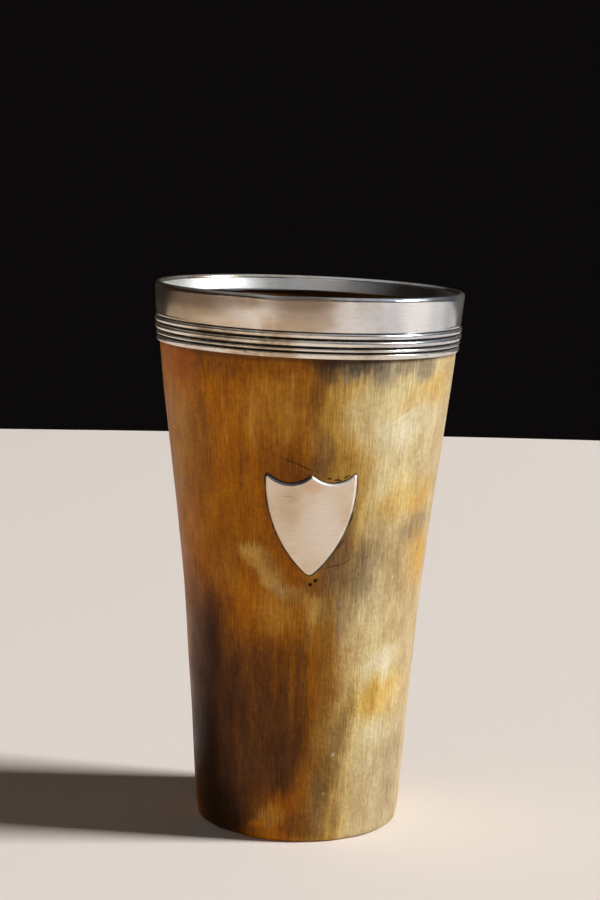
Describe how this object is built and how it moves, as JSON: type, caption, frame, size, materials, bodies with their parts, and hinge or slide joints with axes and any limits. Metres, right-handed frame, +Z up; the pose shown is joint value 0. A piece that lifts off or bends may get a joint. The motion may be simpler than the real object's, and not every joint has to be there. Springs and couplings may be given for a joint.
{
  "type": "horn drinking cup",
  "caption": "Tapered drinking beaker of formed horn with a reeded silver collar folded over its rim, a blank silver shield pinned to the front and an inset horn base.",
  "frame": {"origin": "centre of the foot, on the surface that the cup stands on", "axes": "+Z up along the cup's axis, -Y out of the shield, +X to the right of someone facing the shield"},
  "size_m": [0.076, 0.076, 0.1341],
  "materials": {
    "horn": "oiled and worn natural ox horn, mottled amber, cream and dark brown",
    "base_horn": "turned dark horn, satin",
    "silver": "softly polished silver with fine scratches and light tarnish"
  },
  "bodies": {
    "root": {"horn_body": "horn", "base_disc": "base_horn", "rim_collar": "silver", "upper_reed": "silver", "middle_reed": "silver", "lower_reed": "silver", "edge_strip": "silver", "collar_pins": "silver", "shield_plate": "silver", "shield_pins": "silver"}
  },
  "joints": []
}
